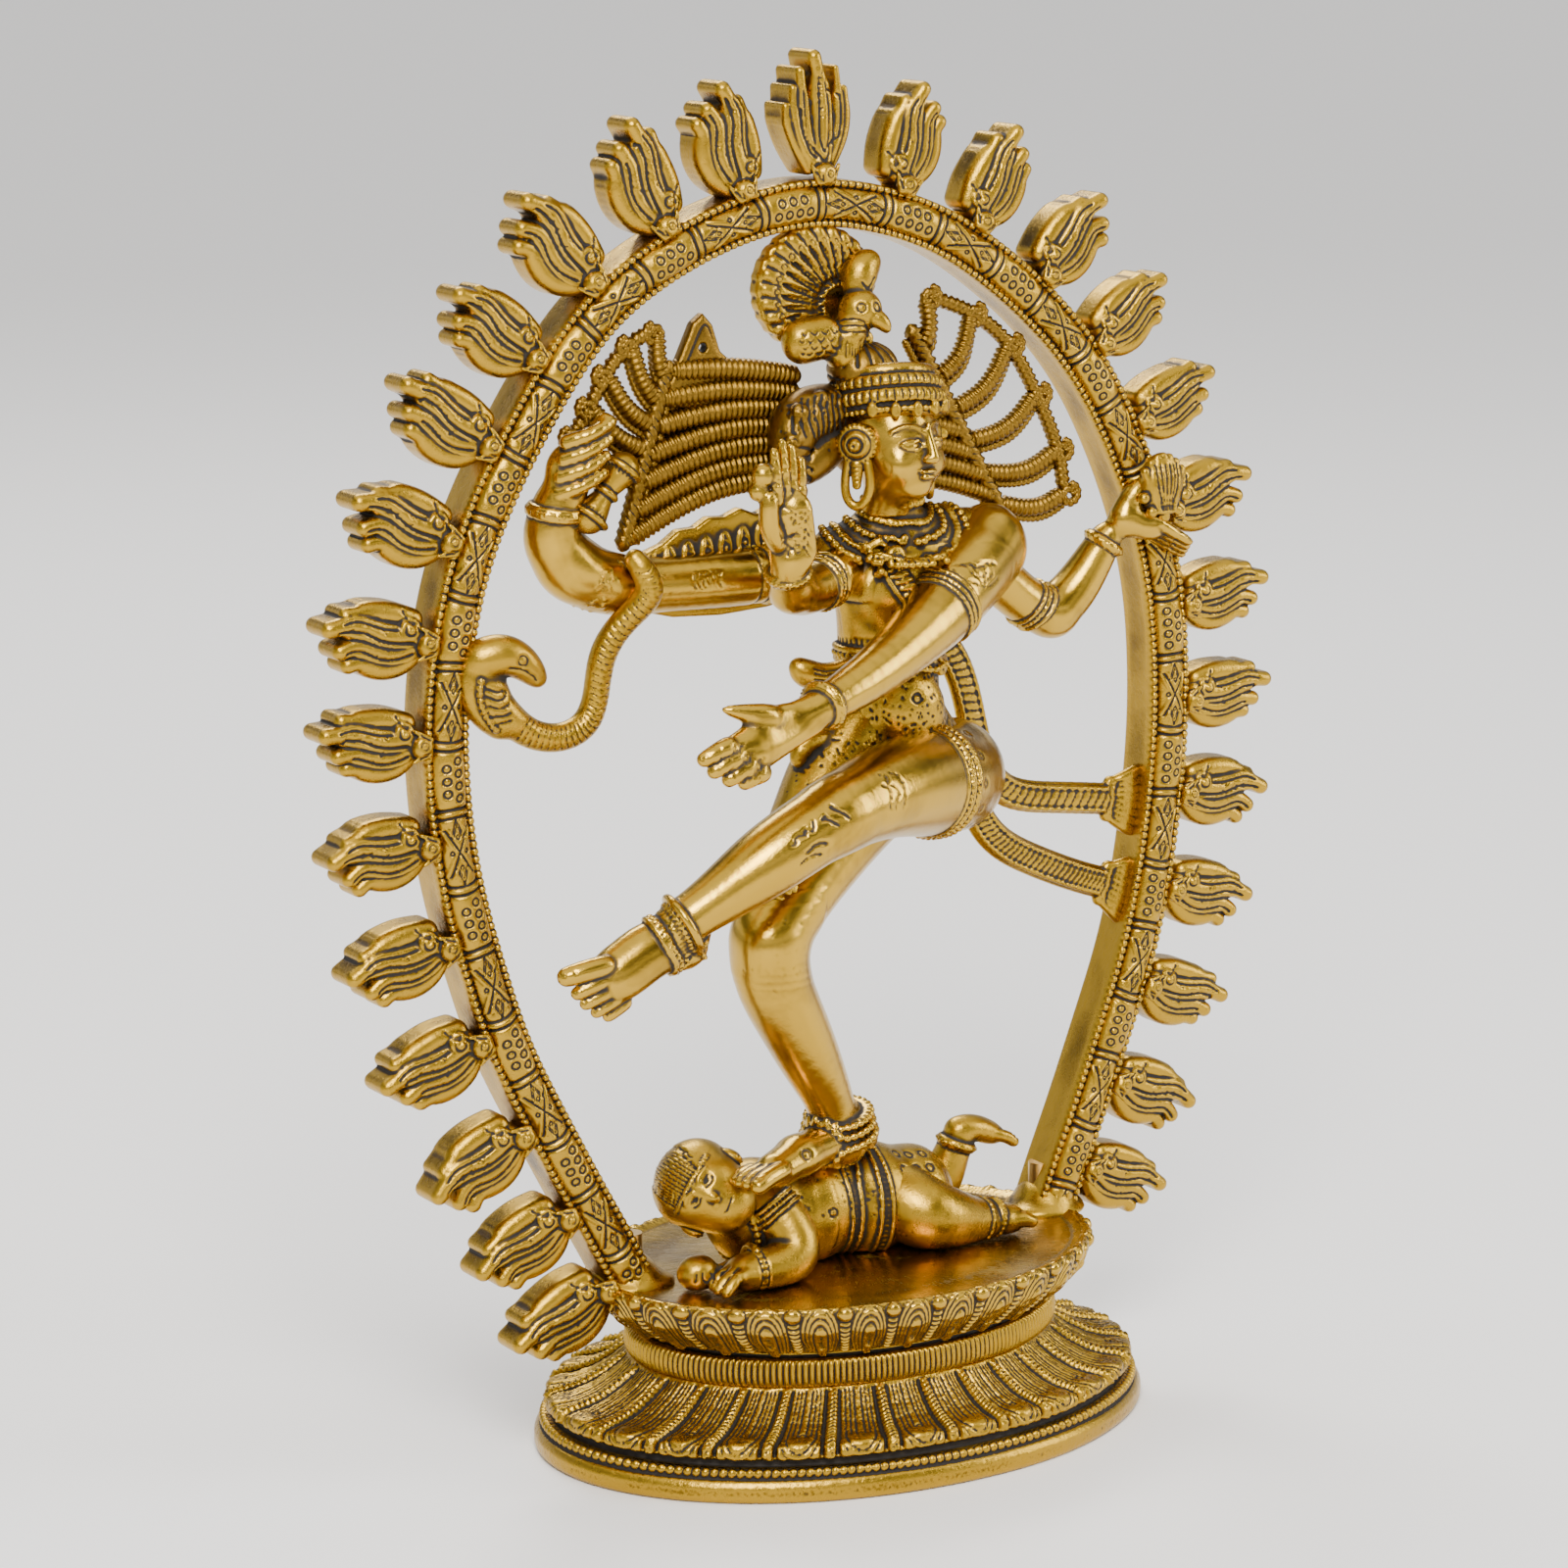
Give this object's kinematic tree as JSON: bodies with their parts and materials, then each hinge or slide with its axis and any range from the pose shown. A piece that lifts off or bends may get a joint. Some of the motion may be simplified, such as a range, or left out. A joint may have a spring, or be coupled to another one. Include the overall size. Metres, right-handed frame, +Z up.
{
  "type": "dancing figure statue with flaming arch",
  "caption": "Cast brass four-armed dancer standing on a reclining dwarf inside a flaming oval arch, on an oval lotus base.",
  "frame": {"origin": "middle of the whole object's footprint, on the surface that it stands on", "axes": "+Z up, -Y the way the figure faces, +X to the viewer's right"},
  "size_m": [0.2422, 0.1066, 0.3049],
  "materials": {
    "polished_brass": "polished, with dark antique patina in the hollows",
    "antique_brass": "satin antique brass with dark patina in the chased lines",
    "plain_brass": "plain turned brass"
  },
  "bodies": {
    "root": {"arch_bar": "antique_brass", "arch_flames_left": "antique_brass", "arch_flames_right": "antique_brass", "arch_pegs": "plain_brass", "base_deck": "polished_brass", "base_milled_ring": "polished_brass", "base_skirt": "polished_brass", "cobra": "antique_brass", "crest_bird": "antique_brass", "crest_fan": "antique_brass", "crown_flame": "antique_brass", "diadem": "antique_brass", "drum": "antique_brass", "dwarf_arm": "antique_brass", "dwarf_front_leg": "antique_brass", "dwarf_head": "antique_brass", "dwarf_raised_leg": "antique_brass", "dwarf_torso": "antique_brass", "earrings": "antique_brass", "figure_peg": "plain_brass", "front_left_arm": "polished_brass", "front_right_arm": "polished_brass", "hair": "antique_brass", "hair_fan_left": "antique_brass", "hair_fan_right": "antique_brass", "hand_flame": "antique_brass", "head": "polished_brass", "raised_leg": "polished_brass", "rear_left_arm": "polished_brass", "rear_right_arm": "polished_brass", "sash": "antique_brass", "shoulder_cloth": "antique_brass", "standing_leg": "polished_brass", "thigh_cloth": "antique_brass", "torso": "antique_brass", "waist_knot": "antique_brass"}
  },
  "joints": []
}
